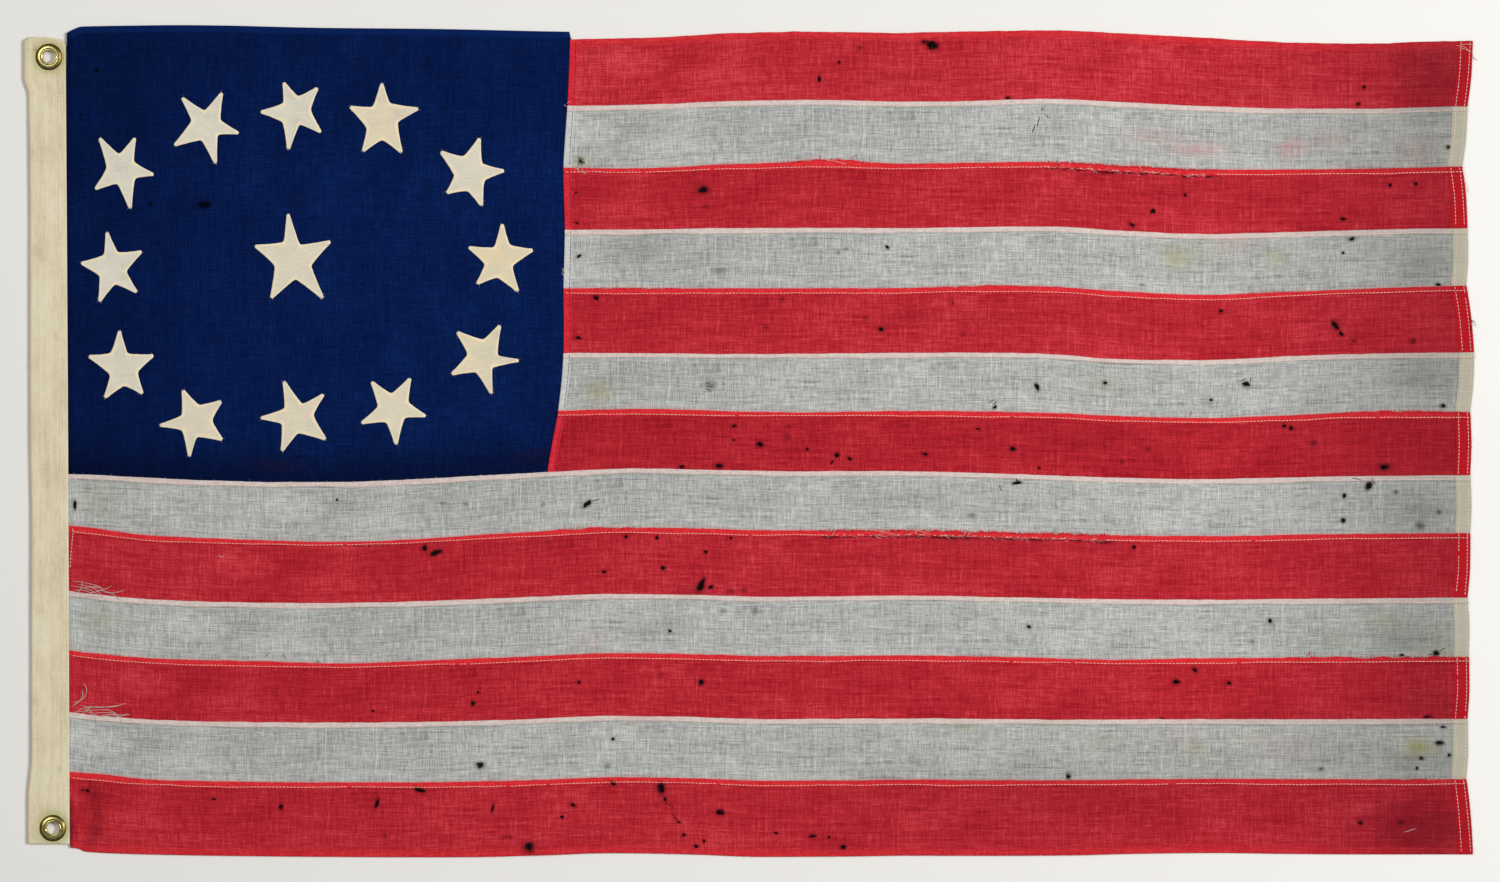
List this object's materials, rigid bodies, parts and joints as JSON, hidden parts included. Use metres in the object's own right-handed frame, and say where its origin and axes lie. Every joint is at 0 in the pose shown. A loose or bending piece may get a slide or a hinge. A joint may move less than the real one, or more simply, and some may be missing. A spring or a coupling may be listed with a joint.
{
  "type": "worn sewn flag with a canvas heading",
  "caption": "Flat cloth flag of sewn stripes with a star-covered canton, a canvas heading and brass grommets for a line.",
  "frame": {"origin": "on the surface that the flag lies on, under the middle of the whole flag", "axes": "+X runs along the stripes from the heading to the fly end, +Y up the heading from the bottom stripe to the top one, +Z out of the flag's face"},
  "size_m": [1.102, 0.6322, 0.0045],
  "materials": {
    "red_bunting": "faded red plain-woven bunting with darker streaks, small dark spots and brighter folded bands at its seams",
    "white_bunting": "greyed open-weave white bunting with darker pores, creamy folded bands and small dark spots",
    "blue_bunting": "deep navy plain-woven bunting with faint slubs and small dark holes",
    "star_cotton": "unbleached cotton, cream with greyer middles and frayed raw edges",
    "heading_canvas": "cream cotton canvas tape, handled and lightly stained",
    "grommet_brass": "aged rolled brass, rubbed bright on its domes"
  },
  "bodies": {
    "root": {"canton": "blue_bunting", "stripe_01": "red_bunting", "stripe_02": "white_bunting", "stripe_03": "red_bunting", "stripe_04": "white_bunting", "stripe_05": "red_bunting", "stripe_06": "white_bunting", "stripe_07": "red_bunting", "stripe_08": "white_bunting", "stripe_09": "red_bunting", "stripe_10": "white_bunting", "stripe_11": "red_bunting", "stripe_12": "white_bunting", "stripe_13": "red_bunting", "star_01": "star_cotton", "star_02": "star_cotton", "star_03": "star_cotton", "star_04": "star_cotton", "star_05": "star_cotton", "star_06": "star_cotton", "star_07": "star_cotton", "star_08": "star_cotton", "star_09": "star_cotton", "star_10": "star_cotton", "star_11": "star_cotton", "star_12": "star_cotton", "star_13": "star_cotton", "heading": "heading_canvas", "grommet_top": "grommet_brass", "washer_top": "grommet_brass", "grommet_bottom": "grommet_brass", "washer_bottom": "grommet_brass"}
  },
  "joints": []
}
